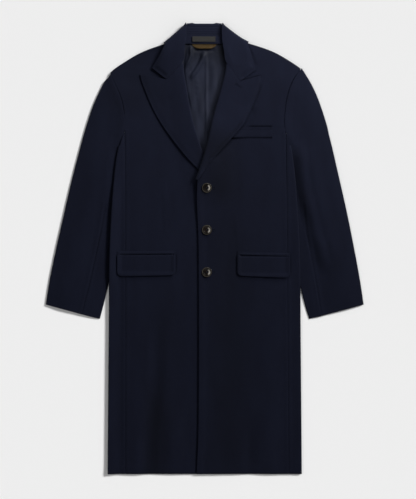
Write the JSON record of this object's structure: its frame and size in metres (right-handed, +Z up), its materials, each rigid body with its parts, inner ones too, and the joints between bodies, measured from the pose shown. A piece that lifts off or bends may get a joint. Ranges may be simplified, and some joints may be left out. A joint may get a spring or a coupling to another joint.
{
  "type": "wool overcoat",
  "caption": "Knee-length single-breasted men's overcoat in dark navy wool, buttoned and laid flat on its back, with notched lapels, flap pockets and a chest welt.",
  "frame": {"origin": "on the surface that the coat lies on, under the middle of its outline", "axes": "+X towards the wearer's left, +Y up the coat to its collar, +Z up from the surface, out of the coat's front"},
  "size_m": [0.8274, 1.172, 0.0273],
  "materials": {
    "navy_wool": "milled wool coating with a short pressed nap, matt",
    "navy_satin": "satin lining with a soft sheen",
    "charcoal_tape": "bare woven label, matt",
    "bronze_tape": "woven twill hanger tape",
    "brown_horn": "dark mottled horn, polished rim"
  },
  "bodies": {
    "root": {"back": "navy_wool", "side_right": "navy_wool", "side_left": "navy_wool", "front_right": "navy_wool", "front_left": "navy_wool", "facing_right": "navy_wool", "facing_left": "navy_wool", "collar_fall": "navy_wool", "collar_stand": "navy_wool", "top_sleeve_right": "navy_wool", "top_sleeve_left": "navy_wool", "under_sleeve_right": "navy_wool", "under_sleeve_left": "navy_wool", "chest_welt": "navy_wool", "jet_right": "navy_wool", "jet_left": "navy_wool", "flap_right": "navy_wool", "flap_left": "navy_wool", "back_lining": "navy_satin", "neck_label": "charcoal_tape", "hanger_loop": "bronze_tape", "button_1": "brown_horn", "button_2": "brown_horn", "button_3": "brown_horn"}
  },
  "joints": []
}
